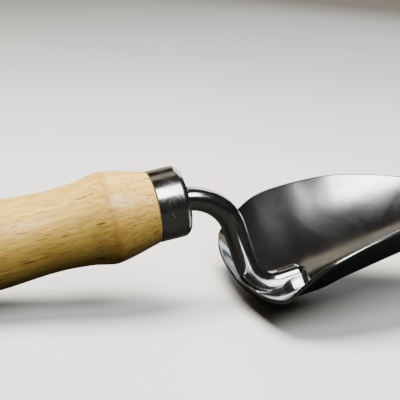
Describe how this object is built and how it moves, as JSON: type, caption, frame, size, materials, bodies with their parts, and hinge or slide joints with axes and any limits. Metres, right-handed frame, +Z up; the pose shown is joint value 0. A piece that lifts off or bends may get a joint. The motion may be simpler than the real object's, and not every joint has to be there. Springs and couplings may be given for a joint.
{
  "type": "hand trowel",
  "caption": "Hand trowel: turned wooden handle with a steel ferrule, cranked round neck and a wide pressed scoop blade, for digging, planting and potting.",
  "frame": {"origin": "middle of the bounding box, on the bench that the trowel rests on", "axes": "+X along the trowel from the handle's butt to the blade's tip, +Z up with the blade's open side up, XZ is the plane of symmetry; the handle's axis climbs 13 degrees towards the blade, because the trowel rests on its handle and on its heel"},
  "size_m": [0.2654, 0.0862, 0.0529],
  "materials": {
    "handle_wood": "turned hardwood under satin varnish",
    "ferrule_steel": "polished stainless steel with fine scratches",
    "neck_steel": "polished stainless round bar",
    "blade_steel": "polished stainless sheet",
    "weld_steel": "dressed and polished weld metal",
    "adhesive": "set epoxy"
  },
  "bodies": {
    "root": {"handle": "handle_wood", "ferrule": "ferrule_steel", "neck": "neck_steel", "blade": "blade_steel", "tang_adhesive": "adhesive", "weld_left": "weld_steel", "weld_right": "weld_steel", "weld_toe": "weld_steel"}
  },
  "joints": []
}
